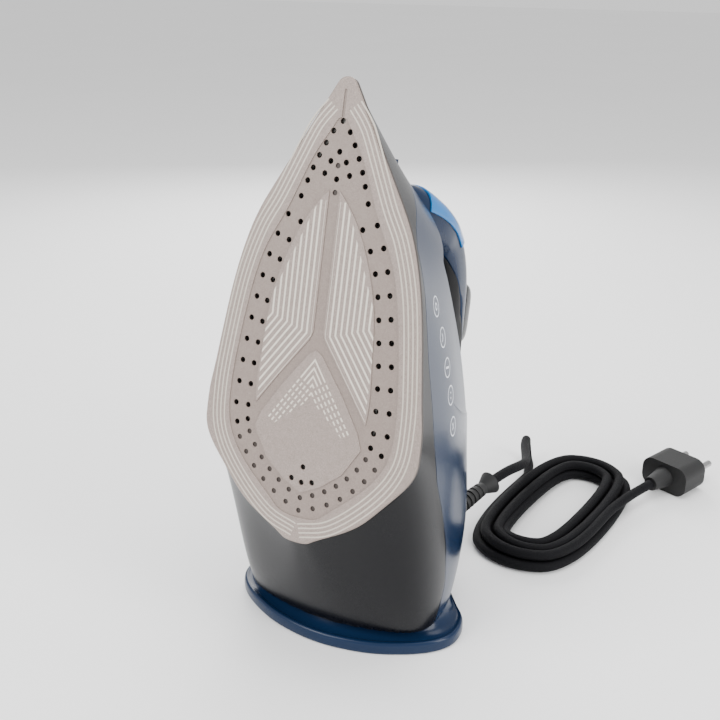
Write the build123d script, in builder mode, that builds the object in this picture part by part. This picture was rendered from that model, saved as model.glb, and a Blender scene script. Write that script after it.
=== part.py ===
from build123d import *
import os
from math import cos, pi, radians, sin, tan

os.makedirs("parts", exist_ok=True)

# A steam iron standing on its heel. Millimetres, +Z up, the soleplate faces -Y, and the origin is the
# middle of the heel rest's underside. Shapes of the iron itself are drawn in three iron directions:
# x across it, u from the soleplate's rear point towards its tip, w from the sole towards the handle.

# ---- driving dimensions ----
lean = 15.0               # the sole leans back from upright when the iron stands
apex_forward = 70.0       # the sole's rear point stands this far in front of the origin
apex_height = 77.5        # and this far above the floor
sole_length = 236.0
tip_radius = 6.0
sheet = 3.0               # soleplate sheet
wall = 2.5                # housing walls
heel_top = 12.0           # height of the heel rest's upper face
rim_height = 7.0          # height of its outer rim
steam_hole = 1.5          # radii
dimple = 1.4
handle_top = 156.0        # depth w of the handle's top
handle_half = 22.0
gap_rear = 62.0           # u where the finger gap ends at the rear pillar
play = 0.3                # clearance round the moving pieces
cord_diameter = 6.5

u_dir = Vector(0, sin(radians(lean)), cos(radians(lean)))
w_dir = Vector(0, cos(radians(lean)), -sin(radians(lean)))
apex = Vector(0, -apex_forward, apex_height)


def at(x, u, w):
    """The point x across, u along the sole and w deep."""
    return apex + Vector(x, 0, 0) + u_dir * u + w_dir * w


def level(w):
    """Plane parallel to the sole; its y runs towards the tip and its x towards the left flank."""
    return Plane(origin=at(0, 0, w), x_dir=(-1, 0, 0), z_dir=w_dir)


def post(x, u, w):
    """Plane parallel to the sole with its origin at a given point."""
    return Plane(origin=at(x, u, w), x_dir=(-1, 0, 0), z_dir=w_dir)


side = Plane(origin=apex, x_dir=u_dir, z_dir=(-1, 0, 0))    # local x is u and local y is w


# ---- outlines ----
# Right half of the sole: straight nose side, full flank, rounded point at the heel.
nose_line = [(tip_radius * cos(radians(29)), sole_length - tip_radius * (1 - sin(radians(29)))), (37.5, 177.0)]
flank = [(37.5, 177.0), (43.4, 165.3), (49.0, 149.0), (54.0, 126.5), (60.6, 80.0), (62.4, 57.0)]
heel_side = [(62.4, 57.0), (57.2, 42.3), (47.3, 30.6), (33.0, 16.0), (9.7, 2.4), (0.0, 0.0)]


def drawn_in(points, inset):
    """The sole's points moved inwards by about inset: the pointed tip moves about twice as far as the flank."""
    return [(x * (1 - inset / 62.4), 1.1 * inset + u * (1 - 3.05 * inset / sole_length)) for x, u in points]


def sole_sketch(inset=0.0):
    """The sole's outline, moved inwards by about inset."""
    tip = [(0, sole_length), (tip_radius * 0.55, sole_length - tip_radius * 0.165), nose_line[0]]
    with BuildSketch() as outline:
        with BuildLine():
            ThreePointArc(*drawn_in(tip, inset))
            Line(*drawn_in(nose_line, inset))
            Spline(*drawn_in(flank, inset), tangents=[(0.49, -0.87), (0, -1)])
            Spline(*drawn_in(heel_side, inset), tangents=[(0, -1), (-1, 0)])
            mirror(about=Plane.YZ)
        make_face()
    return outline.sketch


# The housing is flat-faced: each face goes through three points (x, u, w), given for the right half.
housing_faces = [
    [(0, 233.5, 3), (10, 194, 68), (-10, 194, 68)],         # front of the nose
    [(0, 233.5, 3), (37.5, 176, 3), (12, 190, 68)],         # nose side
    [(37.5, 176, 3), (53, 126, 3), (43.5, 125, 68)],        # flank, front and rear
    [(53, 126, 3), (61, 57, 3), (57.5, 50, 68)],
    [(57.5, 50, 68), (43.5, 125, 68), (40, 75, 120)],       # flank above the middle
    [(61, 10, 68), (61, -58, 68), (49.5, 5, 120)],          # rear shoulder
    [(49.5, 5, 120), (49, -25, 120), (27, 5, 156)],         # rear top
    [(0, 1.5, 3), (0, -54.5, 49.8), (45, -51.5, 60.9)],     # under the heel, middle and side
    [(33, 17, 3), (56, 43, 3), (55, -20, 50)],
]
inside = at(0, 60, 50)


def face_plane(points, thin):
    """The plane through three points, facing out of the housing and moved inwards by thin."""
    a, b, c = (at(*p) for p in points)
    normal = (b - a).cross(c - a).normalized()
    if normal.dot(inside - a) > 0:
        normal = normal * -1
    return Plane(origin=a - normal * thin, z_dir=normal)


def housing(thin=0.0, low=sheet):
    """The housing's mass, or the room inside walls as thick as thin."""
    with BuildPart() as mass:
        with BuildSketch(level(low)):
            with Locations((0, 70)):
                Rectangle(122 - 2 * thin, 340)
        extrude(amount=handle_top - low - thin)
        for points in housing_faces:
            for s in (1, -1):
                split(bisect_by=face_plane([(s * x, u, w) for x, u, w in points], thin), keep=Keep.BOTTOM)
    return mass.part


def slab(points, half):
    """A side profile in u and w, as thick as half each way from the middle plane."""
    with BuildPart() as plate:
        with BuildSketch(side):
            with BuildLine():
                Polyline(*points, close=True)
            make_face()
        extrude(amount=half, both=True)
    return plate.part


def ring_post(x, u, low, high, outer, inner=0.0):
    """A round post or tube square to the sole, from depth low to depth high."""
    with BuildPart() as made:
        with BuildSketch(post(x, u, low)):
            Circle(outer)
            if inner:
                Circle(inner, mode=Mode.SUBTRACT)
        extrude(amount=high - low)
    return made.part


def block(x, u, low, high, across, along, radius=0.0):
    """A block square to the sole, with its four upright edges rounded."""
    with BuildPart() as made:
        with BuildSketch(post(x, u, low)):
            if radius:
                RectangleRounded(across, along, radius)
            else:
                Rectangle(across, along)
        extrude(amount=high - low)
    return made.part


def keep_part(part, name):
    """Labels a finished piece and writes its file."""
    part.label = name
    export_step(part, "parts/" + name + ".step")


# Side profile of the line between the black lower shell and the blue body, nose to heel.
seam = [(206, 56), (199, 50), (183, 38), (168, 19), (158, 12.5), (125, 13), (104, 15), (84, 20), (61, 25),
        (40, 32), (20, 46), (0, 58), (-25, 67), (-90, 67)]
# Top of the blue body: front ledge, deck under the fingers, rear pillar.
deck = [(158, 68), (151, 60), (131, 70), (107, 81), (84, 90), (68, 98), (gap_rear, 108), (gap_rear, 120)]
# Back of the iron, from the handle's rear to the heel.
back = [(60, 156), (30, 155), (5, 149), (-15, 140), (-28, 131), (-38, 120), (-45, 105)]

above_heel = Plane(origin=(0, 0, heel_top))

# ---- soleplate ----
# Steam holes: a point at the nose, then rows along the nose, the flank and round the heel.
nose_row = [(4.6, 209.8), (11.1, 197.4), (16.1, 184.7)]
outer_row = [(18.8, 176.7), (29.6, 157.5), (37.8, 126.8), (42.4, 95.1), (44.3, 66.0)]
inner_row = [(17.5, 164.0), (26.6, 145.5), (33.0, 115.1), (36.2, 84.6), (36.8, 66.0)]
outer_heel = [(39.9, 48.1), (29.2, 34.4), (15.5, 23.9), (0, 17.3)]
inner_heel = [(34.3, 52.2), (25.2, 40.0), (13.5, 30.5), (0, 24.1)]


def along_row(points, count, skip_last=False):
    """Evenly spaced places on a smooth line through the points, on both halves of the sole."""
    line = Spline(*points) if len(points) > 2 else Line(*points)
    steps = [line @ (i / (count - 1)) for i in range(count - int(skip_last))]
    return [(s * p.X, p.Y) for p in steps for s in (1, -1)]


through = (along_row(nose_row, 5) + along_row(outer_row, 11) + along_row(inner_row, 10)
           + [(s * 42.5, 55.8) for s in (1, -1)] + [(s * 36.2, 58.5) for s in (1, -1)]
           + [(s * 4.3, 195.2) for s in (1, -1)] + [(s * 6.9, 189.0) for s in (1, -1)]
           + [(0, 214.8), (0, 200.0), (0, 186.7), (0, 40.6), (0, 32.4), (6, 33.6), (-6, 33.6)])
blind = (along_row(outer_heel, 7, skip_last=True) + along_row(inner_heel, 7, skip_last=True)
         + [(0, 17.3), (0, 24.1), (0, 193.3), (0, 180.2)])

# The recessed steam channel and the raised islands inside it, right halves.
channel_edge = [(0, 217), (2.6, 215.6), (12.5, 199.5), (25.8, 169.5), (35, 151.5), (41.8, 127.7), (46.4, 97),
                (48.4, 72), (46.4, 54), (35, 36), (16.3, 19.2), (0, 13.6)]
leaf_edge = [(3.0, 181.0), (11.3, 171.0), (18.2, 159.0), (23.6, 145.5), (28.8, 127.0), (31.3, 102.0), (32.7, 80.0),
             (32.0, 68.8)]
leaf_back = [(32.0, 68.8), (21.0, 84.5), (4.6, 106.3), (3.0, 110.5), (2.9, 150.0), (3.0, 181.0)]
shield_edge = [(0, 101.5), (3.9, 98.9), (17.7, 80.6), (28.2, 64.3), (31.2, 56.0), (22.3, 41.4), (10.8, 32.2),
               (0, 26.9)]

with BuildPart() as soleplate:
    with BuildSketch(level(0)):
        add(sole_sketch())
    extrude(amount=sheet)
    chamfer(soleplate.faces().sort_by(Axis(apex, w_dir))[0].edges(), length=0.8)
    with BuildSketch(level(0)):
        with BuildLine():
            Spline(*channel_edge[:2])
            Spline(*channel_edge[1:], tangents=[(0.5, -0.87), (-1, 0)])
            mirror(about=Plane.YZ)
        make_face()
        with BuildLine():
            Spline(*leaf_edge)
            Polyline(*leaf_back)
        make_face(mode=Mode.SUBTRACT)
        with BuildLine():
            Spline(*[(-x, u) for x, u in leaf_edge])
            Polyline(*[(-x, u) for x, u in leaf_back])
        make_face(mode=Mode.SUBTRACT)
        with BuildLine():
            Polyline(*shield_edge)
            mirror(about=Plane.YZ)
        make_face(mode=Mode.SUBTRACT)
        with Locations((0, 222)):
            SlotOverall(16, 1.6, rotation=90)
    extrude(amount=0.5, mode=Mode.SUBTRACT)
    with BuildSketch(level(0)):
        with Locations(*blind):
            Circle(dimple)
    extrude(amount=1.2, mode=Mode.SUBTRACT)
    with BuildSketch(level(0)):
        with Locations(*through):
            Circle(steam_hole)
    extrude(amount=sheet, mode=Mode.SUBTRACT)
keep_part(soleplate.part, "soleplate")

# ---- heating element: a U of tube cast in round the steam chamber, its ends turned up at the heel ----
element_depth, element_radius = 10.5, 3.5
element_points = [(26, 44), (44, 62), (43, 100), (37, 132), (18, 172), (0, 198), (-18, 172), (-37, 132), (-43, 100),
                  (-44, 62), (-26, 44)]


def element(radius):
    """The U-shaped tube with its two upright ends."""
    with BuildPart() as tube:
        with BuildLine(level(element_depth)) as path:
            FilletPolyline(*element_points, radius=11)
        with BuildSketch(Plane(origin=path.line @ 0, z_dir=path.line % 0)):
            Circle(radius)
        sweep()
        for x in (26, -26):
            add(ring_post(x, 44, element_depth, 26, radius - 1))
    return tube.part


keep_part(element(element_radius), "heating_element")

# ---- steam chamber: the aluminium casting on the sheet, with the chamber above and the steam ring below ----
casting_top = 17.0
with BuildPart() as steam_chamber:
    with BuildSketch(level(sheet)):
        add(sole_sketch(5))
    extrude(amount=casting_top - sheet)
    with BuildSketch(level(casting_top - 8)):
        add(sole_sketch(24))
    extrude(amount=8, mode=Mode.SUBTRACT)
    with BuildSketch(level(casting_top - 8)):
        with Locations(*[(s * 8, 62 + i * 17) for i, s in enumerate((1, -1, 1, -1, 1))]):
            Rectangle(24, 2.5)
    extrude(amount=6.5)
    with BuildSketch(level(sheet)):
        add(sole_sketch(11.5))
        add(sole_sketch(26), mode=Mode.SUBTRACT)
    extrude(amount=3, mode=Mode.SUBTRACT)
    add(element(element_radius + 0.1), mode=Mode.SUBTRACT)
with BuildPart() as cast_chamber:
    add(steam_chamber.part)
    add(housing(3.5), mode=Mode.INTERSECT)
keep_part(cast_chamber.part, "steam_chamber")

# ---- gasket and chamber lid, with the drip hole under the steam valve ----
valve_u, filler_u, dial_u = 163.0, 176.0, 92.0
gasket_top = casting_top + 1.2
lid_top = gasket_top + 1.5
with BuildPart() as chamber_seal:
    with BuildSketch(level(casting_top)):
        add(sole_sketch(19))
        add(sole_sketch(23), mode=Mode.SUBTRACT)
    extrude(amount=gasket_top - casting_top)
    for x in (26, -26):
        add(ring_post(x, 44, sheet, 30, element_radius), mode=Mode.SUBTRACT)
keep_part(chamber_seal.part, "chamber_seal")

with BuildPart() as chamber_lid:
    with BuildSketch(level(gasket_top)):
        add(sole_sketch(17))
        with Locations((26, 44), (-26, 44)):
            Circle(4, mode=Mode.SUBTRACT)
        with Locations((0, valve_u)):
            Circle(2, mode=Mode.SUBTRACT)
    extrude(amount=lid_top - gasket_top)
keep_part(chamber_lid.part, "chamber_lid")

with BuildPart() as chamber_screws:
    for x, u in ((20, 70), (-20, 70), (12, 148), (-12, 148)):
        add(ring_post(x, u, lid_top, lid_top + 2.2, 3.2))
keep_part(chamber_screws.part, "chamber_screws")

# ---- thermostat on the lid, its spindle and the dial under the fingers ----
dial_radius, dial_low, dial_high = 16.0, 77.0, 88.0
with BuildPart() as thermostat:
    add(ring_post(0, dial_u, lid_top, lid_top + 8, 12))
keep_part(thermostat.part, "thermostat")
spindle = ring_post(0, dial_u, lid_top + 8 + play, dial_low + 6, 3)
keep_part(spindle, "dial_spindle")
with BuildPart() as temperature_dial:
    add(ring_post(0, dial_u, dial_low, dial_high, dial_radius))
    chamfer(temperature_dial.faces().sort_by(Axis(apex, w_dir))[-1].edges(), length=1.2)
    add(ring_post(0, dial_u, dial_low, dial_low + 6, 3), mode=Mode.SUBTRACT)
keep_part(temperature_dial.part, "temperature_dial")
keep_part(block(22, 112, lid_top, lid_top + 5, 7, 20, 2), "thermal_fuse")

# ---- black lower shell: nose, skirt and heel up to the seam ----
outer, room = housing(), housing(wall, low=0)
inner_back = [(60, 153.5), (30, 152.5), (4.2, 146.6), (-13.8, 137.8), (-26, 129.3), (-35.8, 118.6), (-42.6, 104),
              (-60, 80), (-60, -10), (240, -10), (240, 153.5)]
behind = slab(back + [(-60, 90), (-60, -10), (240, -10), (240, 156)], 70)
with BuildPart() as lower_shell:
    add(outer)
    add(slab(seam + [(-90, 0), (240, 0), (240, 56)], 70), mode=Mode.INTERSECT)
    add(room, mode=Mode.SUBTRACT)
    split(bisect_by=above_heel, keep=Keep.TOP)
keep_part(lower_shell.part, "lower_shell")

# ---- heat shield between the hot casting and the tank ----
with BuildPart() as heat_shield:
    with BuildSketch(level(30)):
        add(sole_sketch(14))
        with Locations((26, 44), (-26, 44), (0, dial_u), (0, valve_u)):
            Circle(5, mode=Mode.SUBTRACT)
    extrude(amount=1.5)
keep_part(heat_shield.part, "heat_shield")

# ---- blue body: flanks, deck and rear, between the seam and the handle ----
above_seam = slab(seam + [(-90, 120), (gap_rear, 120)] + deck[::-1][1:] + [(206, 68)], 70)
inner_top = [(204, 65), (159, 65), (151, 57), (131, 67), (107, 78), (84, 87), (66, 95.5), (gap_rear - 3, 107),
             (gap_rear - 3, 122), (-90, 122), (-90, 0), (204, 0)]
deck_slab = [(60, 60), (60, 103), (66, 98.5), (84, 90), (107, 81), (120, 75.5), (120, 60)]
nozzle = Plane(origin=at(0, 186, 60), x_dir=(1, 0, 0), z_dir=u_dir)
with BuildPart() as body_room:
    add(room)
    add(slab(inner_top, 70), mode=Mode.INTERSECT)
    add(slab(inner_back, 70), mode=Mode.INTERSECT)
with BuildPart() as dial_cup:
    add(ring_post(0, dial_u, dial_low - 3, 100, dial_radius + 3))
    add(slab(deck_slab, 70), mode=Mode.INTERSECT)
with BuildPart() as body_shell:
    add(outer)
    add(above_seam, mode=Mode.INTERSECT)
    add(behind, mode=Mode.INTERSECT)
    split(bisect_by=above_heel, keep=Keep.TOP)
    add(body_room.part, mode=Mode.SUBTRACT)
    add(dial_cup.part)
    add(ring_post(0, dial_u, dial_low - play, 130, dial_radius + 1), mode=Mode.SUBTRACT)
    add(ring_post(0, dial_u, dial_low - 6, dial_low, 3.05), mode=Mode.SUBTRACT)
    add(ring_post(0, filler_u, 60, 72, 7.1), mode=Mode.SUBTRACT)
    add(ring_post(0, valve_u, 60, 72, 2.3), mode=Mode.SUBTRACT)
    with BuildSketch(nozzle):
        Circle(4.05)
    extrude(amount=20, mode=Mode.SUBTRACT)
keep_part(body_shell.part, "body_shell")

with BuildPart() as spray_nozzle:
    with BuildSketch(nozzle):
        Circle(4)
        Circle(0.8, mode=Mode.SUBTRACT)
    extrude(amount=16)
keep_part(spray_nozzle.part, "spray_nozzle")

# ---- water tank with the sleeve for the dial's spindle, its filler neck and the steam valve ----
tank_side = [(64, 34), (182, 34), (188, 58), (162, 58), (152, 50), (130, 60), (112, 66), (64, 66)]
tank_inner = [(66, 36), (180.5, 36), (185.5, 56), (162.7, 56), (152.5, 47.7), (129.5, 58), (111.5, 64), (66, 64)]
with BuildPart() as tank_room:
    add(housing(9))
    add(slab(tank_inner, 70), mode=Mode.INTERSECT)
with BuildPart() as water_tank:
    add(housing(7))
    add(slab(tank_side, 70), mode=Mode.INTERSECT)
    add(tank_room.part, mode=Mode.SUBTRACT)
    add(ring_post(0, dial_u, 34, 66, 5.5))
    add(ring_post(0, dial_u, 30, 70, 4), mode=Mode.SUBTRACT)
    add(ring_post(0, filler_u, 50, 70, 5.8), mode=Mode.SUBTRACT)
    add(ring_post(0, valve_u, 50, 70, 2.3), mode=Mode.SUBTRACT)
    add(ring_post(0, valve_u, 30, 40, 4.05), mode=Mode.SUBTRACT)
    with BuildSketch(nozzle.offset(-5)):
        Circle(4.5)
    extrude(amount=20, mode=Mode.SUBTRACT)
keep_part(water_tank.part, "water_tank")
keep_part(ring_post(0, filler_u, 58, 87, 7, 5.8), "filler_neck")
keep_part(ring_post(0, valve_u, lid_top, 37, 4, 2.05), "valve_seat")
keep_part(ring_post(0, valve_u, 32, 126, 2), "valve_rod")

# ---- handle: blue cover with the front pillar and the rear top, black grip under it ----
handle_outer = [(193.3, 68), (186, 90), (178, 112), (168, 130), (156, 142), (141, 151), (125, 156), (gap_rear - 4, 156),
                (gap_rear - 4, 122), (128, 122), (142, 117), (152, 107), (157, 92), (157, 68)]
handle_inner = [(190, 71), (183.5, 89), (175.8, 111), (166, 128.2), (154.8, 139.7), (140.3, 148.5), (124.5, 153.5),
                (50, 153.5), (50, 124.5), (128.5, 124.5), (143.6, 119.2), (154.3, 108), (159.5, 92.5), (159.5, 71)]
grip_side = [(164, 95), (148, 116), (138, 126), (125, 134), (112, 140), (99, 144), (gap_rear, 148), (gap_rear, 100)]
guard_start = Vector(27, 52, 28.6)
guard_dir = Vector(0.305, 0.94, 0.153).normalized()
guard_length = 55.7


def along_guard(distance):
    return Plane(origin=guard_start + guard_dir * distance, z_dir=guard_dir)


def guard_post(low, high, outer_radius, inner_radius=0.0):
    """A round post or tube along the cord guard's axis."""
    with BuildPart() as made:
        with BuildSketch(along_guard(low)):
            Circle(outer_radius)
            if inner_radius:
                Circle(inner_radius, mode=Mode.SUBTRACT)
        extrude(amount=high - low)
    return made.part


hinge_u, hinge_w = 160.2, 141.2


def hinge_bar(low, high, radius):
    """A round bar across the iron on the inlet flap's hinge, from x low to x high."""
    with BuildPart() as made:
        with BuildSketch(Plane(origin=at(low, hinge_u, hinge_w), z_dir=(1, 0, 0))):
            Circle(radius)
        extrude(amount=high - low)
    return made.part


with BuildPart() as rear_room:
    add(room)
    add(slab([(gap_rear - 2.5, 118), (gap_rear - 2.5, 160), (-90, 160), (-90, 118)], 70), mode=Mode.INTERSECT)
    add(slab(inner_back, 70), mode=Mode.INTERSECT)
slot = [(155, 139.5), (158.5, 145), (145.5, 153), (142, 147)]
with BuildPart() as handle_cover:
    add(outer)
    add(slab([(gap_rear, 120), (gap_rear, 160), (-90, 160), (-90, 120)], 70), mode=Mode.INTERSECT)
    add(behind, mode=Mode.INTERSECT)
    add(rear_room.part, mode=Mode.SUBTRACT)
    split(bisect_by=above_heel.offset(play), keep=Keep.TOP)
    add(slab(handle_outer, handle_half))
    add(slab(handle_inner, handle_half - wall), mode=Mode.SUBTRACT)
    add(slab(grip_side, handle_half + 1), mode=Mode.SUBTRACT)
    add(ring_post(0, filler_u, 86, 130, 6.5), mode=Mode.SUBTRACT)
    add(block(0, 115, 150, 160, 27, 37), mode=Mode.SUBTRACT)
    add(slab(slot, 3.2), mode=Mode.SUBTRACT)
    add(ring_post(0, valve_u, 66, 75, 2.3), mode=Mode.SUBTRACT)
    add(ring_post(0, filler_u, 66, 75, 7.1), mode=Mode.SUBTRACT)
    add(guard_post(-10, 30, 10.6), mode=Mode.SUBTRACT)
    add(hinge_bar(9.5, 14, 2.6))
    add(hinge_bar(-14, -9.5, 2.6))
    add(hinge_bar(-15, 15, 0.95), mode=Mode.SUBTRACT)
keep_part(handle_cover.part, "handle_cover")

with BuildPart() as handle_grip:
    add(slab(handle_outer, handle_half))
    add(slab(grip_side, handle_half + 1), mode=Mode.INTERSECT)
    add(slab(handle_inner, handle_half - wall), mode=Mode.SUBTRACT)
keep_part(handle_grip.part, "handle_grip")

# ---- inlet flap and its pin ----
flap = [(188.3, 84.5), (178.4, 112.2), (168.35, 130.35), (161.5, 137.2), (163, 140), (170.2, 132.2), (180.4, 113.2),
        (190.5, 85.3)]
with BuildPart() as inlet_cover:
    add(slab(flap, 14))
    add(hinge_bar(-9.2, 9.2, 2.0))
    add(slab([(162.6, 137.2), (164.5, 138.4), (161, 142), (160.6, 140.4)], 9.2))
    add(hinge_bar(-15, 15, 0.95), mode=Mode.SUBTRACT)
keep_part(inlet_cover.part, "inlet_cover")
keep_part(hinge_bar(-14, 14, 0.9), "inlet_pin")

# ---- buttons, their pumps and the steam slider ----
with BuildPart() as button_housing:
    add(block(0, 115, handle_top, 160.5, 41, 41, 2.5))
    for u, along in ((124, 18), (105.5, 15)):
        add(block(0, u, 150, 165, 26, along, 1.5), mode=Mode.SUBTRACT)
keep_part(button_housing.part, "button_housing")
for name, u, along in (("steam", 124, 17.4), ("spray", 105.5, 14.4)):
    with BuildPart() as button:
        add(block(0, u, 157, 163, 25.4, along, 1.3))
        add(ring_post(0, u, 141, 157, 2.6))
    keep_part(button.part, name + "_button")
    with BuildPart() as pump:
        add(ring_post(0, u, 126, 130, 7))
        add(ring_post(0, u, 130, 148, 7, 2.9))
    keep_part(pump.part, name + "_pump")

slope = (9 / 17.49, 15 / 17.49)      # out of the cover's sloping front


def off_slope(u, out):
    """A point of the side profile that stands off the sloping front by out."""
    return (u + slope[0] * out, 151 - (u - 141) * 9 / 15 + slope[1] * out)


with BuildPart() as steam_slider:
    add(slab([off_slope(153.5, 0.3), off_slope(147, 0.3), off_slope(147, 1.7), off_slope(153.5, 1.7)], 5.5))
    add(slab([off_slope(151.8, -5), off_slope(148.8, -5), off_slope(148.8, 1), off_slope(151.8, 1)], 2.5))
keep_part(steam_slider.part, "steam_slider")

# ---- heel rest ----
rim = [(0, -50), (26, -46.5), (46, -38.5), (62, -27.5), (69.6, -15), (68.5, 0), (60, 11), (50, 24), (42, 40),
       (26, 48.5), (0, 50)]
collar = [(0, -38.5), (22, -34.5), (36, -30.5), (48, -26), (57, -19), (61, -11), (61, 2), (54, 20), (46, 38),
          (26, 46), (0, 47)]
with BuildPart() as heel_rest:
    for outline, low, high in ((rim, 0, rim_height), (collar, rim_height, heel_top)):
        with BuildSketch(Plane.XY.offset(low)):
            with BuildLine():
                Spline(*outline, tangents=[(1, 0), (-1, 0)])
                mirror(about=Plane.YZ)
            make_face()
        extrude(amount=high - low)
keep_part(heel_rest.part, "heel_rest")

# ---- mains connection: terminal block, swivel socket and cord guard ----
keep_part(block(0, 15, 80, 98, 34, 20, 2), "terminal_block")
keep_part(guard_post(5, 15, 10.5, 7.15), "cord_socket")
with BuildPart() as cord_guard:
    add(guard_post(3, 17, 6.8))
    for i in range(7):
        add(guard_post(19.5 + 4 * i, 21.5 + 4 * i, 5.9 - 0.2 * i))
    add(guard_post(17, 48, 4.2))
    with BuildSketch(along_guard(48)):
        Circle(4.2)
    with BuildSketch(along_guard(guard_length)):
        Circle(7.6)
    loft()
    add(guard_post(0, guard_length + 1, 3.3), mode=Mode.SUBTRACT)
keep_part(cord_guard.part, "cord_guard")


# ---- cord: from the guard down to a fold on the floor, a loose oval coil, and the plug past it ----
def cord_tube(name, points):
    """A tube of straight runs joined by tangent arcs, each as large as its two runs allow."""
    corners = [Vector(*p) for p in points]
    radii = []
    for a, b, c in zip(corners, corners[1:], corners[2:]):
        turn = radians((b - a).get_angle(c - b))
        radii.append(0.45 * min((b - a).length, (c - b).length) / tan(turn / 2))
    with BuildPart() as tube:
        with BuildLine() as path:
            FilletPolyline(*corners, radius=radii)
        with BuildSketch(Plane(origin=path.line @ 0, z_dir=path.line % 0)):
            Circle(cord_diameter / 2)
        sweep()
    section = pi * cord_diameter ** 2 / 4
    length = sum(e.length for e in path.edges())
    print(name, "radii", [round(r, 1) for r in radii], "length", round(length, 1),
          "volume over section times length", round(tube.part.volume / section / length, 4))
    return tube.part


guard_tip = guard_start + guard_dir * guard_length
first = guard_tip - guard_dir * 6
second = guard_tip + guard_dir * 14
lead_points = [tuple(first), tuple(second), (54, 139, 36), (51, 158, 29), (44, 178, 24), (37, 197, 21),
               (34, 210, 20), (33, 214.8, 11.7), (36, 210, 3.4), (41, 200, 3.3), (44, 186, 3.3), (41.3, 170, 3.3)]
coil_centre = (79, 146)
with BuildPart() as cord_coil:
    with BuildSketch(Plane(origin=(*coil_centre, 0), x_dir=(0.12, 0.993, 0), z_dir=(0, 0, 1))):
        SlotOverall(2 * 81.3, 2 * 43.3)
        SlotOverall(2 * 59, 2 * 21, mode=Mode.SUBTRACT)
    extrude(amount=13.2)
keep_part(cord_coil.part, "cord_coil")
with BuildPart() as cord_lead:
    add(cord_tube("lead", lead_points))
    add(cord_coil.part, mode=Mode.SUBTRACT)
keep_part(cord_lead.part, "cord_lead")

tail_points = [(113.2, 148, 9.9), (117, 165, 10), (123, 182, 11), (130, 199, 11)]
plug_dir = Vector(7, 17, 0).normalized()
plug_x = Vector(17, -7, 0).normalized()


def along_plug(distance, across=0.0):
    return Plane(origin=Vector(130, 199, 11) + plug_dir * distance + plug_x * across, x_dir=plug_x, z_dir=plug_dir)


keep_part(cord_tube("tail", tail_points), "cord_tail")
with BuildPart() as plug_body:
    with BuildSketch(along_plug(0)):
        Circle(5)
    with BuildSketch(along_plug(16)):
        Circle(7.5)
    loft()
    with BuildSketch(along_plug(16)):
        RectangleRounded(36, 22, 8)
    extrude(amount=24)
keep_part(plug_body.part, "plug_body")
with BuildPart() as plug_pins:
    for across in (-9.5, 9.5):
        with BuildSketch(along_plug(40, across)):
            Circle(2.4)
        extrude(amount=19)
keep_part(plug_pins.part, "plug_pins")
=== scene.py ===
from math import cos, pi, radians, sin

import bmesh
import bpy
import numpy as np
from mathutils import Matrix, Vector


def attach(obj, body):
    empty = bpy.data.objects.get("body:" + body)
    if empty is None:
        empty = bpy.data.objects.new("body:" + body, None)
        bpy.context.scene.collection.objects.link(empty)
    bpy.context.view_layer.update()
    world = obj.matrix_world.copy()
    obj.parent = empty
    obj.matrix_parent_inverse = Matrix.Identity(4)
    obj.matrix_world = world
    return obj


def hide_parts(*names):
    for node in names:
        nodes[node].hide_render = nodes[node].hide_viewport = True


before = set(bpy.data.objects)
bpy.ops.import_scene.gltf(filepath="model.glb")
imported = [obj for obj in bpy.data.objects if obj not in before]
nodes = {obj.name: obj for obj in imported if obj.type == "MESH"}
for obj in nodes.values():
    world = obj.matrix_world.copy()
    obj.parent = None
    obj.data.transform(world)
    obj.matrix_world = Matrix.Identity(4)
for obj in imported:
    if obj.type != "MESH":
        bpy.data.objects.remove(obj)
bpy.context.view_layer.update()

mm = 0.001
lean = radians(15)  # the iron stands on its heel, leaning back by this much
apex = np.array([0, -0.070, 0.0775])  # the soleplate's rear point
print("frame loaded:", len(nodes), "nodes")

# camera, lights and floor come first
view = {"place": (0.2354, -0.4466, 0.3633), "turn": (67.5, 0, 27.6), "lens": 50}
cameraData = bpy.data.cameras.new("camera")
cameraData.lens, cameraData.sensor_width = view["lens"], 36
camera = bpy.data.objects.new("camera", cameraData)
camera.location = view["place"]
camera.rotation_euler = [radians(a) for a in view["turn"]]
bpy.context.scene.collection.objects.link(camera)
bpy.context.scene.camera = camera


# each light: place, the point it looks at, its two sizes and its power
lights = {
    "keyLight": ((-0.55, -0.95, 0.95), (0, 0, 0.14), (0.7, 0.9), 17),
    "sideLight": ((0.95, -0.15, 0.55), (0, 0.02, 0.14), (0.35, 0.9), 9),
    "topLight": ((0.1, 0.25, 1.15), (0, 0, 0.1), (0.9, 0.9), 9),
    "backLight": ((-0.5, 0.9, 0.6), (0, 0.05, 0.14), (0.6, 0.6), 8),
}
for name, (place, target, size, power) in lights.items():
    lamp = bpy.data.lights.new(name, "AREA")
    lamp.shape, lamp.size, lamp.size_y, lamp.energy = "RECTANGLE", size[0], size[1], power
    holder = bpy.data.objects.new(name, lamp)
    holder.location = place
    holder.rotation_euler = (Vector(target) - Vector(place)).to_track_quat("-Z", "Y").to_euler()
    bpy.context.scene.collection.objects.link(holder)
world = bpy.data.worlds.new("studio")
world.use_nodes = True
world.node_tree.nodes["Background"].inputs["Color"].default_value = (1, 1, 1, 1)
world.node_tree.nodes["Background"].inputs["Strength"].default_value = 1.0
bpy.context.scene.world = world
print("camera and lights placed")


def tint(code):
    # a colour written as six hexadecimal digits, made linear
    parts = [int(code[i:i + 2], 16) / 255 for i in (0, 2, 4)]
    return tuple(c / 12.92 if c < 0.04045 else ((c + 0.055) / 1.055) ** 2.4 for c in parts) + (1.0,)


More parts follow.
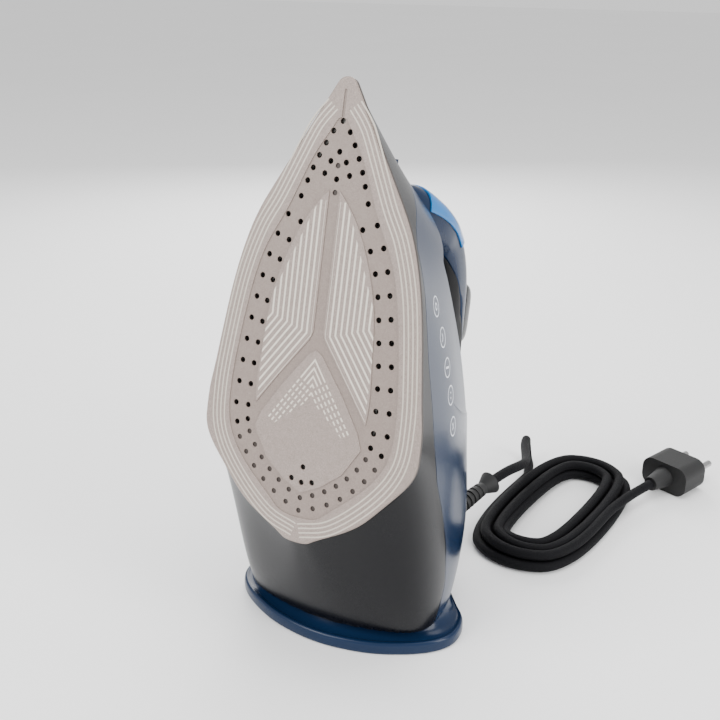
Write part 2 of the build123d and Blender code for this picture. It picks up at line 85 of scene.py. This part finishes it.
class Wire:
    # one output socket; arithmetic on it adds Math nodes
    def __init__(self, paint, socket):
        self.paint, self.socket = paint, socket

    def sum(self, operation, a, b=0.0):
        return self.paint.node("ShaderNodeMath", {"operation": operation}, {0: a, 1: b})

    def __add__(self, other):
        return self.sum("ADD", self, other)

    def __sub__(self, other):
        return self.sum("SUBTRACT", self, other)

    def __rsub__(self, other):
        return self.sum("SUBTRACT", other, self)

    def __mul__(self, other):
        return self.sum("MULTIPLY", self, other)

    def __truediv__(self, other):
        return self.sum("DIVIDE", self, other)

    def __pow__(self, other):
        return self.sum("POWER", self, other)

    def __lt__(self, other):
        return self.sum("LESS_THAN", self, other)

    def __gt__(self, other):
        return self.sum("GREATER_THAN", self, other)

    def __abs__(self):
        return self.sum("ABSOLUTE", self)

    def least(self, other):
        return self.sum("MINIMUM", self, other)

    def most(self, other):
        return self.sum("MAXIMUM", self, other)

    def part(self):
        return self.sum("FRACT", self)

    __radd__, __rmul__ = __add__, __mul__


class Paint:
    # a material whose shader is one Principled node; fixed numbers and colours go straight onto its sockets
    def __init__(self, name, **fixed):
        self.material = bpy.data.materials.new(name)
        self.material.use_nodes = True
        self.tree = self.material.node_tree
        self.shader = self.tree.nodes["Principled BSDF"]
        for socket, value in fixed.items():
            self.shader.inputs[socket.replace("_", " ")].default_value = value
        self.place = self.node("ShaderNodeTexCoord", {}, {}, "Object")

    def node(self, kind, settings, sockets, out=0):
        made = self.tree.nodes.new(kind)
        for key, value in settings.items():
            setattr(made, key, value)
        for key, value in sockets.items():
            if isinstance(value, Wire):
                self.tree.links.new(value.socket, made.inputs[key])
            else:
                made.inputs[key].default_value = value
        return Wire(self, made.outputs[out])

    def axes(self):
        # x across, u along the sole and w deep, all in millimetres
        x, y, z = (self.node("ShaderNodeSeparateXYZ", {}, {0: self.place}, i) for i in range(3))
        y, z = (y - apex[1]) * 1000, (z - apex[2]) * 1000
        return x * 1000, y * sin(lean) + z * cos(lean), y * cos(lean) - z * sin(lean)

    def noise(self, scale, detail=3.0, stretch=None):
        source = self.place
        if stretch:
            source = self.node("ShaderNodeMapping", {}, {"Vector": self.place, "Scale": stretch})
        return self.node("ShaderNodeTexNoise", {}, {"Vector": source, "Scale": scale, "Detail": detail},
            "Fac")

    def grains(self, scale, out="Distance"):
        return self.node("ShaderNodeTexVoronoi", {}, {"Vector": self.place, "Scale": scale}, out)

    def mixed(self, factor, a, b):
        return self.node("ShaderNodeMix", {"data_type": "RGBA"}, {0: factor, 6: a, 7: b}, 2)

    def give(self, **wires):
        for socket, wire in wires.items():
            self.tree.links.new(wire.socket, self.shader.inputs[socket.replace("_", " ")])
        return self

    def bump(self, height, distance, strength=1.0):
        normal = self.node("ShaderNodeBump", {}, {"Height": height, "Distance": distance,
            "Strength": strength}, "Normal")
        return self.give(Normal=normal)


def moulded(name, dark, light, rough, coat=0.0, grain=0.00003, grainScale=2200, fingerprints=0.06, **fixed):
    # moulded plastic: faint mottling, a fine skin, and roughness that drifts where hands have polished it
    paint = Paint(name, Coat_Weight=coat, Coat_Roughness=0.06, **fixed)
    drift = paint.noise(24, 4.0)
    fine = paint.noise(grainScale, 2.0)
    dust = paint.grains(900) < 0.05
    paint.give(Base_Color=paint.mixed(drift, tint(dark), tint(light)),
               Roughness=drift * fingerprints + fine * 0.05 + dust * 0.12 + (rough - fingerprints / 2))
    return paint.bump(fine + paint.noise(160, 2.0) * 0.6, grain)


def catmull(points, places, mirrored=False):
    # a smooth line through the points: each span blends its four neighbouring points with cubic weights
    p = np.asarray(points, float)
    flip = np.array([-1.0] + [1.0] * (p.shape[1] - 1))
    ends = (p[1] * flip, p[-2] * flip) if mirrored else (2 * p[0] - p[1], 2 * p[-1] - p[-2])
    p = np.vstack([ends[0], p, ends[1]])
    i = np.clip(np.floor(places).astype(int), 0, len(p) - 4)
    f = (places - i)[..., None]
    a, b, c, d = p[i], p[i + 1], p[i + 2], p[i + 3]
    return 0.5 * (2 * b + (c - a) * f + (2 * a - 5 * b + 4 * c - d) * f ** 2 + (3 * b - a - 3 * c + d) * f ** 3)


def evenly(points, count, mirrored=False):
    # the same line at places spread evenly along its length
    dense = catmull(points, np.linspace(0, len(points) - 1, 40 * len(points)), mirrored)
    run = np.concatenate([[0], np.cumsum(np.linalg.norm(np.diff(dense, axis=0), axis=1))])
    wanted = np.linspace(0, run[-1], count)
    return np.stack([np.interp(wanted, run, dense[:, k]) for k in range(dense.shape[1])], 1)


def stand(x, u, w):
    # iron directions in millimetres to the room's x, y, z in metres
    u, w = np.asarray(u, float), np.asarray(w, float)
    y, z = u * sin(lean) + w * cos(lean), u * cos(lean) - w * sin(lean)
    return np.stack(np.broadcast_arrays(np.asarray(x, float) * mm, apex[1] + y * mm, apex[2] + z * mm), -1)


def piece(name, grids, paint, body, closed=(), wall=0.0, sharp=35, capped=()):
    # grids of points, rows by columns, become quads; matching rims are merged and faces turned outwards
    corners, faces, start = [], [], 0
    for k, grid in enumerate(grids):
        rows, columns = grid.shape[:2]
        ids = np.arange(rows * columns).reshape(rows, columns) + start
        if k in closed:
            ids = np.concatenate([ids, ids[:, :1]], 1)
        quads = np.stack([ids[:-1, :-1], ids[:-1, 1:], ids[1:, 1:], ids[1:, :-1]], -1).reshape(-1, 4)
        faces += quads.tolist()
        if k in capped:
            faces += [ids[0, :columns][::-1].tolist(), ids[-1, :columns].tolist()]
        corners.append(grid.reshape(-1, 3))
        start += rows * columns
    mesh = bpy.data.meshes.new(name)
    mesh.from_pydata(np.concatenate(corners).tolist(), [], faces)
    work = bmesh.new()
    work.from_mesh(mesh)
    bmesh.ops.remove_doubles(work, verts=work.verts, dist=0.00002)
    bmesh.ops.dissolve_degenerate(work, edges=work.edges, dist=0.00001)
    bmesh.ops.recalc_face_normals(work, faces=work.faces)
    middle = sum((v.co for v in work.verts), Vector()) / max(1, len(work.verts))
    if sum(f.normal.dot(f.calc_center_median() - middle) * f.calc_area() for f in work.faces) < 0:
        bmesh.ops.reverse_faces(work, faces=work.faces)
    work.to_mesh(mesh)
    work.free()
    mesh.shade_smooth()
    mesh.set_sharp_from_angle(angle=radians(sharp))
    made = bpy.data.objects.new(name, mesh)
    bpy.context.scene.collection.objects.link(made)
    mesh.materials.append(paint.material)
    if wall:
        solid = made.modifiers.new("wall", "SOLIDIFY")
        solid.thickness, solid.offset, solid.use_even_offset = wall * mm, -1, False
    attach(made, body)
    return made


def dress(paint, *names):
    for name in names:
        mesh = nodes[name].data
        mesh.materials.clear()
        mesh.materials.append(paint.material)


# the housing: right half outlines (x, u) at four depths, nose to heel, point for point
hull = {
    "depths": (3, 68, 120, 157),
    "outlines": (
        ((0, 233.5), (7, 228), (24, 200), (36.5, 176), (47.5, 149), (52.5, 126.5), (59, 80), (61, 57),
         (55.7, 42.3), (46, 30.6), (32, 17), (10, 4), (0, 1.5)),
        ((0, 194), (10, 189), (25, 173), (35, 155), (43.5, 125), (52, 88), (58, 50), (61, 10),
         (61, -30), (56, -58), (45, -70), (25, -77), (0, -80)),
        ((0, 178), (12, 174), (22, 160), (29, 140), (35, 110), (40, 75), (44, 45), (49.5, 5),
         (49, -25), (44, -42), (30, -52), (14, -55), (0, -56)),
        ((0, 150), (6, 147), (13, 135), (15, 120), (18, 100), (21, 75), (23, 45), (26, 5),
         (25, -20), (21, -32), (12, -38), (6, -39.5), (0, -40))),
    "seam": ((-90, 67), (-25, 67), (0, 58), (20, 46), (40, 32), (61, 25), (84, 20), (104, 15), (125, 13),
             (158, 12.5), (168, 19), (183, 38), (199, 50), (206, 56), (240, 70)),
    "top": ((-90, 55), (-60, 85), (-45, 105), (-38, 120), (-28, 131), (-15, 140), (5, 149), (30, 154.5),
    (52, 155.5),
            (59, 151), (61, 136), (62, 118), (63, 106), (68, 98), (84, 90), (107, 81), (131, 70), (151, 60),
            (158, 66), (165, 69), (240, 69)),
    "columns": 150, "rows": 44, "floor": 12.2, "wall": 1.6,
}
places = np.linspace(0, 12, hull["columns"])
levels = np.array(hull["depths"], float)
outlines = np.stack([catmull(line, places, True) for line in hull["outlines"]])
chords = np.diff(outlines, axis=0) / np.diff(levels)[:, None, None]
slopes = np.concatenate([chords[:1], (chords[1:] + chords[:-1]) / 2, chords[-1:]])


def hullAt(w):
    # x and u of every column at depths w: cubic Hermite spans between the depth levels
    i = np.clip(np.searchsorted(levels, w) - 1, 0, len(levels) - 2)
    step = (levels[i + 1] - levels[i])[..., None]
    f = ((w - levels[i])[..., None]) / step
    col = np.broadcast_to(np.arange(w.shape[-1]), w.shape)
    a, b, m, n = outlines[i, col], outlines[i + 1, col], slopes[i, col] * step, slopes[i + 1, col] * step
    return ((2 * f ** 3 - 3 * f ** 2 + 1) * a + (f ** 3 - 2 * f ** 2 + f) * m
            + (3 * f ** 2 - 2 * f ** 3) * b + (f ** 3 - f ** 2) * n)


def depthWhere(profile):
    # the first depth at which each column passes the side profile
    trial = np.linspace(3, 157, 900)[:, None] + np.zeros(hull["columns"])
    line = np.array(profile, float)
    passed = trial >= np.interp(hullAt(trial)[..., 1], line[:, 0], line[:, 1])
    return trial[np.argmax(passed, 0), 0]


def wallGrid(low, high, rows, tuck=0.0):
    # the housing's skin from depth low to depth high, once round; its end rows may tuck inwards
    v = np.linspace(0, 1, rows)[:, None]
    w = low + v * (high - low)
    xu = hullAt(w)
    if tuck:
        xu = np.concatenate([xu[:1] * [1 - tuck / 50, 1], xu])
        w = np.concatenate([w[:1], w])
    right = stand(xu[..., 0], xu[..., 1], w)
    left = right[:, -2:0:-1] * [-1, 1, 1]
    grid = np.concatenate([right, left], 1)
    grid[..., 2] = np.maximum(grid[..., 2], hull["floor"] * mm)
    return grid


seamDepth, topDepth = depthWhere(hull["seam"]), depthWhere(hull["top"])
soleDepth = np.full(hull["columns"], 3.1)
blackWall = wallGrid(soleDepth, seamDepth - 0.5, hull["rows"])
blueWall = wallGrid(seamDepth, np.maximum(topDepth, seamDepth + 1), hull["rows"], tuck=1.2)


def lidOver(grid, crown, count):
    # rows across from the right rim to the left one, raised by crown times one minus the fourth power of the way out
    n = hull["columns"]
    right, left = grid[-1, :n], grid[-1, :n] * [-1, 1, 1]
    s = np.linspace(-1, 1, count)[:, None, None]
    flat = right * (1 + s) / 2 + left * (1 - s) / 2
    lift = crown * mm * (1 - s ** 4) * np.minimum(1, np.abs(right[:, :1]) / 0.012)
    flat = flat + lift * np.array([0, cos(lean), -sin(lean)])
    flat[..., 2] = np.maximum(flat[..., 2], hull["floor"] * mm)
    return flat


# finishes
navy = moulded("navyGloss", "0a1a30", "10243f", 0.22, coat=0.05, grain=0.00001, fingerprints=0.05,
    Specular_IOR_Level=0.22)
x, u, w = navy.axes()
icons = {"centres": ((130, 32), (114, 40), (98, 46), (83, 51), (66, 55)), "radius": 5.0, "line": 0.35}
drawn = None
for k, (iu, iw) in enumerate(icons["centres"]):
    du, dw = u - iu, w - iw
    away = (du * du + dw * dw) ** 0.5
    ring = abs(away - icons["radius"]) < icons["line"]
    # inside each ring a plain sign of its own: drop, wave, bar, dots or cross
    signs = (abs(away - 1.6) < 0.4, abs(dw * 0.8 + du * du * 0.3) < 0.4, abs(du) < 0.6,
             (abs(abs(du) - 1.4) < 0.5) * (abs(dw) < 0.5), abs(abs(du) - abs(dw)) < 0.4)
    mark = ring.most(signs[k] * (away < 2.8))
    drawn = mark if drawn is None else drawn.most(mark)
drawn = drawn * (abs(x) > 30)
navyShade = navy.mixed(navy.noise(9, 2.0), tint("0a1a31"), tint("112744"))
navy.give(Base_Color=navy.mixed(drawn, navyShade, tint("c8ccd2")))

black = moulded("blackGloss", "07070a", "0d0d11", 0.24, coat=0.05, grain=0.00001, fingerprints=0.05,
    Specular_IOR_Level=0.16)
softBlack = moulded("softGrip", "070709", "0f0f12", 0.55, grain=0.00012, grainScale=1400,
    Specular_IOR_Level=0.25)
rubber = moulded("rubber", "070708", "0f0f10", 0.6, grain=0.00008, grainScale=1800)
skyBlue = moulded("skyBlue", "0b5fa8", "1a86cf", 0.14, coat=0.2, grain=0.00001, Transmission_Weight=0.2,
    IOR=1.46)
whitePlastic = moulded("whitePlastic", "c9c7c0", "dddbd4", 0.4)
silicone = moulded("silicone", "8f3a26", "a8472f", 0.55)
clearTank = moulded("tankPlastic", "5e7f9e", "7d9cb6", 0.12, grain=0.00001, Transmission_Weight=0.7, IOR=1.5)

steel = Paint("steel", Metallic=1.0)
brushed = steel.noise(900, 2.0, stretch=(1, 1, 0.05))
steel.give(Base_Color=steel.mixed(brushed, tint("8f8f90"), tint("b9b9b8")), Roughness=brushed * 0.2 + 0.22)
steel.bump(brushed, 0.00002)
brass = Paint("brass", Metallic=1.0)
worn = brass.noise(300, 3.0)
brass.give(Base_Color=brass.mixed(worn, tint("a88a4e"), tint("c9ad6c")), Roughness=worn * 0.25 + 0.2)
brass.bump(worn, 0.00002)
casting = Paint("casting", Metallic=0.9)
sandy = casting.grains(700)
casting.give(Base_Color=casting.mixed(casting.noise(60), tint("83837f"), tint("a5a5a0")),
    Roughness=sandy * 0.2 + 0.5)
casting.bump(sandy, 0.0002)

# soleplate: speckled ceramic glaze with printed lines on the two leaves and on the shield
ceramic = Paint("ceramic", Specular_IOR_Level=0.3)
x, u, w = ceramic.axes()
across = abs(x)
speck = ceramic.grains(2300)
fleck = ceramic.noise(1900, 2.0)
glaze = ceramic.mixed(fleck * 0.75 + ceramic.noise(420, 3.0) * 0.25, tint("685b55"), tint("b0a29a"))
glaze = ceramic.mixed((speck < 0.24) * 0.6, glaze, tint("c9bfb6"))
glaze = ceramic.mixed((ceramic.grains(1300) < 0.13) * 0.45, glaze, tint("574b46"))
face = w < 0.25  # the raised faces; the steam channel lies below
lines = {"pitch": 3.0, "printed": 0.34}
# leaf lines keep a distance from the stem, then from the lower edge, whichever is nearer
stem = across - 3.2
edge = (across - 4.6) * 0.807 + (u - 106.3) * 0.590
near = stem.least(edge)
striped = (near / lines["pitch"]).part() < lines["printed"]
leaf = striped * (edge > 0.8) * (stem > 0.8) * (u > 66) * (u < 176)
# shield lines run along its two upper sides and break into dashes away from its point
inward = across * -0.824 - (u - 101.5) * 0.566
along = across * 0.566 - (u - 101.5) * 0.824
dash = ((along / 3.6).part() < 0.62).most(along < 15)
chevron = ((inward / 2.4).part() < 0.36) * dash * (inward > 1.0) * (inward < 13) * (along < 46) * (inward + along * 0.28 < 20)
chevronZone = (u < 101) * (inward > 0.8) * (along > 0)
leafPrint = leaf * (across < 31.5) * (across + (u - 128) * 0.42 < 28.2)
printed = leafPrint.most(chevron * chevronZone) * face
tone = ceramic.mixed(printed, glaze, tint("d2cbbf"))
# painted shade: the glaze between 0.3 and 0.8 mm down, on the steam channel floor, is darkened a little
tone = ceramic.mixed((w > 0.3) * (w < 0.8) * 0.35, tone, tint("74675f"))
# painted shade: the glaze deeper than 0.9 mm, inside the steam holes, is darkened to near black
tone = ceramic.mixed((w > 0.9) * 0.9, tone, tint("2b2522"))
ceramic.give(Base_Color=tone, Roughness=fleck * 0.18 + printed * 0.05 + 0.38)
ceramic.bump(fleck + (speck < 0.2) * 0.5, 0.00006)
print("finishes made")

lowerShell = piece("lowerShellSkin", [blackWall], black, "root", closed=(0,),
    wall=hull["wall"])
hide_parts("lower_shell")
bodyShell = piece("bodyShellSkin", [blueWall, lidOver(blueWall, 3.0, 25)], navy, "root",
    closed=(0,), sharp=40)
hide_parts("body_shell")
print("housing made")

# handle: an arch whose section is a rounded rectangle; the cover is its outer part and the grip its inner part
handle = {
    "outer": ((188, 54), (190.5, 74), (185, 94), (177.5, 113), (168, 130), (156, 142), (141, 151), (125, 156),
              (100, 157), (75, 157), (48, 156), (25, 152)),
    "inner": ((160, 54), (157.5, 74), (157, 92), (154, 103), (150, 110), (142, 117), (134, 120.5), (122, 122),
              (100, 122), (75, 122), (48, 121), (25, 118)),
    "half": (7, 16.5, 21, 22.5, 22, 22, 22, 22, 22.5, 24, 27, 30),
    "split": (-1, -1, -0.98, -0.95, -0.85, -0.68, -0.42, -0.1, 0.5, 0.78, 0.9, 0.93),
    "round": 3.4, "stations": 130, "wall": 2.0,
}
stations = np.linspace(0, len(handle["outer"]) - 1, handle["stations"])
table = np.column_stack([handle["outer"], handle["inner"], handle["half"], handle["split"]])
outU, outW, inU, inW, halfWide, split = catmull(table, stations).T[..., None]


def archGrid(start, stop, count, grow=0.0):
    # points of the arch for section angles start to stop, each a number or one per station: across is the half
    # width times a power of the cosine, and up is the half depth times the same power of the sine
    power = 2 / handle["round"]
    a = start + (stop - start) * np.linspace(0, 1, count)[None, :]
    over = np.sign(np.cos(a)) * np.abs(np.cos(a)) ** power
    rise = np.sign(np.sin(a)) * np.abs(np.sin(a)) ** power
    midU, midW, legU, legW = (outU + inU) / 2, (outW + inW) / 2, (outU - inU) / 2, (outW - inW) / 2
    size = np.hypot(legU, legW)
    scale = 1 + grow / size
    return stand(over * (halfWide + grow), midU + legU * rise * scale, midW + legW * rise * scale)


splitTurn = np.arcsin(np.clip(np.sign(split) * np.abs(split) ** (handle["round"] / 2), -1, 1))
cover = piece("handleCoverSkin", [archGrid(splitTurn, pi - splitTurn, 48)], navy, "root",
    wall=handle["wall"])
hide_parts("handle_cover")
grip = piece("gripSkin", [archGrid(pi - splitTurn + 0.02, 2 * pi + splitTurn - 0.02, 60)], softBlack,
    "root",
             wall=handle["wall"])
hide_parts("handle_grip")
print("handle made")

# inlet flap: the outer skin of the pillar's front, a little proud of it
flap = {"from": 1.2, "to": 4.4, "low": 0.05, "proud": 0.9, "wall": 1.6}
pick = (stations >= flap["from"]) & (stations <= flap["to"])
flapGrid = archGrid(flap["low"] + 0 * split, pi - flap["low"] + 0 * split, 40, grow=flap["proud"])[pick]
inlet = piece("inletFlap", [flapGrid], skyBlue, "inlet_flap", wall=flap["wall"])
bevel = inlet.modifiers.new("edge", "BEVEL")
bevel.width, bevel.segments, bevel.limit_method = 0.0004, 2, "ANGLE"
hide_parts("inlet_cover")


def roundedLoop(halfX, halfU, corner, count=64):
    # a superellipse: half sizes times a small power of cosine and sine
    a = np.linspace(0, 2 * pi, count, endpoint=False)
    power = 2 / corner
    return np.stack([halfX * np.sign(np.cos(a)) * np.abs(np.cos(a)) ** power,
                     halfU * np.sign(np.sin(a)) * np.abs(np.sin(a)) ** power], 1)


def pad(name, centre, rows, corner, paint, body):
    # a rounded block square to the sole: rows of (half across, half along, depth), closed by shrinking to its middle
    loops = [stand(*(roundedLoop(hx, hu, corner) + [0, centre]).T, np.full(64, depth)) for hx, hu,
        depth in rows]
    return piece(name, [np.stack(loops)], paint, body, closed=(0,), sharp=60)


# button block on the handle with its two buttons
buttons = {"block": 115, "steam": (124, 8.4), "spray": (105.5, 6.9)}
block = pad("buttonBlock", buttons["block"], [(0.01, 0.01, 157.2), (10, 15, 157.2), (13, 19.3, 157.2),
    (13.4, 19.6, 160.4),
            (14, 19.9, 160.9), (18.6, 20.2, 161), (20, 20.4, 160.2), (20.5, 20.5, 158.5), (21, 21, 153),
            (21, 21, 150),
            (0.01, 0.01, 150)], 5, black, "root")
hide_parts("button_housing")
for name, body in (("steam", "steam_key"), ("spray", "spray_key")):
    centre, half = buttons[name]
    key = pad(name + "Key", centre, [(0.01, 0.01, 162.4), (6, half * 0.5, 162.5), (11.1, half - 1.2,
        163.0), (12.0, half - 0.3, 162.4),
              (12.3, half, 161.5), (12.3, half, 160.3), (0.01, 0.01, 160.3)], 5, navy, body)
    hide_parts(name + "_button")
print("buttons made")

# heel rest: a raised rim, then a hollow flare up to the housing's foot
heel = {
    "rim": ((0, -50), (26, -46.5), (46, -38.5), (62, -27.5), (69.6, -15), (68.5, 0), (60, 11), (50, 24),
    (42, 40),
            (26, 48.5), (0, 50)),
    "foot": ((0, -36.5), (18, -33.5), (33, -29), (46, -24), (54.5, -17), (57.5, -10), (57, 2), (51, 18),
    (43, 33),
             (24, 43), (0, 45)),
    # share of the way from rim to foot, and height, up the profile
    "profile": ((0.06, 0), (0.0, 0.8), (0.0, 4.6), (0.03, 6.2), (0.09, 7.0), (0.17, 7.0), (0.3, 6.6), (0.5,
    6.9),
                (0.7, 8.2), (0.86, 10.6), (0.97, 14.0), (1.0, 16.5)),
}
rim, foot = evenly(heel["rim"], 90, True), evenly(heel["foot"], 90, True)
steps = catmull(heel["profile"], np.linspace(0, len(heel["profile"]) - 1, 60))
share, height = steps[:, 0][:, None, None], steps[:, 1][:, None]
ring = rim * (1 - share) + foot * share
ring = np.concatenate([ring, ring[:, -2:0:-1] * [-1, 1]], 1)
flare = np.concatenate([ring * mm, np.broadcast_to(height * mm, ring.shape[:2])[..., None]], 2)
ends = [flare[:1] * [1e-4, 1e-4, 1], flare, flare[-1:] * [1e-4, 1e-4, 1]]
flareSkin = piece("heelFlare", [np.concatenate(ends)], navy, "root", closed=(0,), sharp=50)
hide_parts("heel_rest")

# printed border: four raised enamel lines round the steam channel, open at the tip
border = {"edge": ((2.2, 219), (8, 212), (12.5, 204), (25.8, 174.5), (35, 156.5), (42.3, 132), (47.4, 97),
    (49.4, 72),
                   (47.4, 52), (36, 34.5), (16.8, 17.5), (0, 11.8)), "first": 1.7, "pitch": 2.35,
                   "line": 0.75}
path = evenly(border["edge"], 150)
heading = np.gradient(path, axis=0)
heading /= np.linalg.norm(heading, axis=1)[:, None]
outward = np.stack([-heading[:, 1], heading[:, 0]], 1)
bands = []
for k in range(4):
    middle = border["first"] + border["pitch"] * k
    for s in (1, -1):
        offsets = np.array([-0.5, -0.5, 0.5, 0.5]) * border["line"] + middle
        depths = np.array([0.4, -0.06, -0.06, 0.4])
        line = path[:, None, :] + outward[:, None, :] * offsets[None, :, None]
        keep = (line[..., 0].min(1) > 0.6) | (path[:, 1] < 60)
        line = line[keep]
        bands.append(stand(s * np.maximum(line[..., 0], 0), line[..., 1], np.broadcast_to(depths,
            line.shape[:2])))
enamel = moulded("enamel", "b3ab9f", "c6beb2", 0.4)
piece("borderLines", bands, enamel, "root", closed=range(8), capped=range(8))
print("heel rest and border made")

# cord: the route's points, then the coil's turns, then the tail to the plug
guardStart = np.array([27, 52, 28.6])
guardWay = np.array([0.305, 0.94, 0.153]) / np.linalg.norm([0.305, 0.94, 0.153])
guardTip = guardStart + guardWay * 55.7
cord = {"diameter": 6.5, "centre": (79, 146), "half": (78, 40), "step": 6.9, "inner": 2.9, "turns": 5.52,
        "low": 3.3, "high": 9.9}
route = [tuple(guardTip - guardWay * 6), tuple(guardTip + guardWay * 14), (54, 139, 36), (51, 158, 29),
    (44, 178, 24),
         (37, 197, 21), (34, 210, 20), (33, 214.8, 11.7), (36, 210, 3.4), (41, 200, 3.3), (44, 186, 3.3)]
longWay, shortWay = np.array([0.12, 0.993]), np.array([0.993, -0.12])
turn = 0.0
while turn < cord["turns"]:
    # round an oval with straight sides: two half circles whose centres slide apart, drawn in by a step per turn
    layer = turn if turn < cord["inner"] else 2 * cord["inner"] + 0.45 - turn
    inward = cord["step"] * min(cord["inner"], max(0.0, layer))
    wander = 1.4 * sin(2.7 * turn + 0.8) if turn > cord["inner"] + 0.5 else 0
    bend = 2 * pi * turn + 1.27
    lift = min(1, max(0, (turn - cord["inner"]) / 0.4))
    end = cord["half"][1] - inward + wander
    apart = (cord["half"][0] - cord["half"][1]) * min(1, max(-1, 2.2 * cos(bend)))
    spot = np.array(cord["centre"]) + longWay * (apart + end * cos(bend)) - shortWay * end * sin(bend)
    route.append((spot[0], spot[1], cord["low"] + lift * (cord["high"] - cord["low"])))
    turn += 1 / 14
route += [(113.2, 150, 9.9), (117, 165, 10), (123, 182, 11), (130, 199, 11)]
curve = bpy.data.curves.new("mainsCord", "CURVE")
curve.dimensions, curve.bevel_depth, curve.bevel_resolution = "3D", cord["diameter"] / 2 * mm, 5
spline = curve.splines.new("NURBS")
spline.points.add(len(route) - 1)
spline.points.foreach_set("co", np.column_stack([np.array(route) * mm, np.ones(len(route))]).ravel())
spline.order_u, spline.use_endpoint_u, spline.resolution_u = 3, True, 8
curve.use_fill_caps = True
mainsCord = bpy.data.objects.new("mainsCord", curve)
bpy.context.scene.collection.objects.link(mainsCord)
braid = Paint("braid", Specular_IOR_Level=0.15)
strands = (braid.noise(1500, 2.0) + braid.grains(1100)) / 2
braid.give(Base_Color=braid.mixed(strands, tint("030304"), tint("101014")), Roughness=strands * 0.2 + 0.65)
braid.bump(strands, 0.0005)
curve.materials.append(braid.material)
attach(mainsCord, "root")
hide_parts("cord_lead", "cord_coil", "cord_tail")
line = np.array(route) * mm
mids = (line[1:] + line[:-1]) / 2
cordLength = float(np.linalg.norm(np.diff(np.vstack([line[:1], mids, line[-1:]]), axis=0), axis=1).sum())
print("cord about", round(cordLength, 3), "m long")
dress(rubber, "cord_guard", "plug_body", "cord_socket")
dress(steel, "plug_pins")

# what stays as the CAD made it
dress(ceramic, "soleplate")
dress(navy, "spray_nozzle", "inlet_pin")
dress(casting, "steam_chamber", "chamber_lid")
dress(silicone, "chamber_seal", "filler_neck", "valve_seat")
dress(clearTank, "water_tank")
dress(softBlack, "temperature_dial")
dress(black, "steam_slider")
finished = {"soleplate", "spray_nozzle", "inlet_pin", "steam_chamber", "chamber_lid", "chamber_seal",
    "filler_neck", "valve_seat",
            "water_tank", "temperature_dial", "steam_slider", "cord_guard", "plug_body", "cord_socket",
            "plug_pins"}
whiteParts = ("dial_spindle", "heat_shield", "terminal_block", "steam_pump", "spray_pump", "thermal_fuse")
dress(whitePlastic, *[n for n in whiteParts if n in nodes])
dress(steel, *[n for n in nodes if n not in finished and n not in whiteParts and not nodes[n].hide_render])

# floor
floorSize = 6.0
grid = np.linspace(-floorSize, floorSize, 9)
floorMesh = bpy.data.meshes.new("floor")
gx, gy = np.meshgrid(grid, grid, indexing="xy")
ids = np.arange(81).reshape(9, 9)
floorMesh.from_pydata(np.stack([gx.ravel(), gy.ravel(), np.full(81, -0.0003)], 1).tolist(), [],
                      np.stack([ids[:-1, :-1], ids[:-1, 1:], ids[1:, 1:], ids[1:, :-1]], -1).reshape(-1,
                          4).tolist())
floor = bpy.data.objects.new("floor", floorMesh)
bpy.context.scene.collection.objects.link(floor)
pale = Paint("paleFloor", Roughness=0.9)
pale.give(Base_Color=pale.mixed(pale.noise(3), tint("f4f4f4"), tint("f8f8f8")))
floorMesh.materials.append(pale.material)
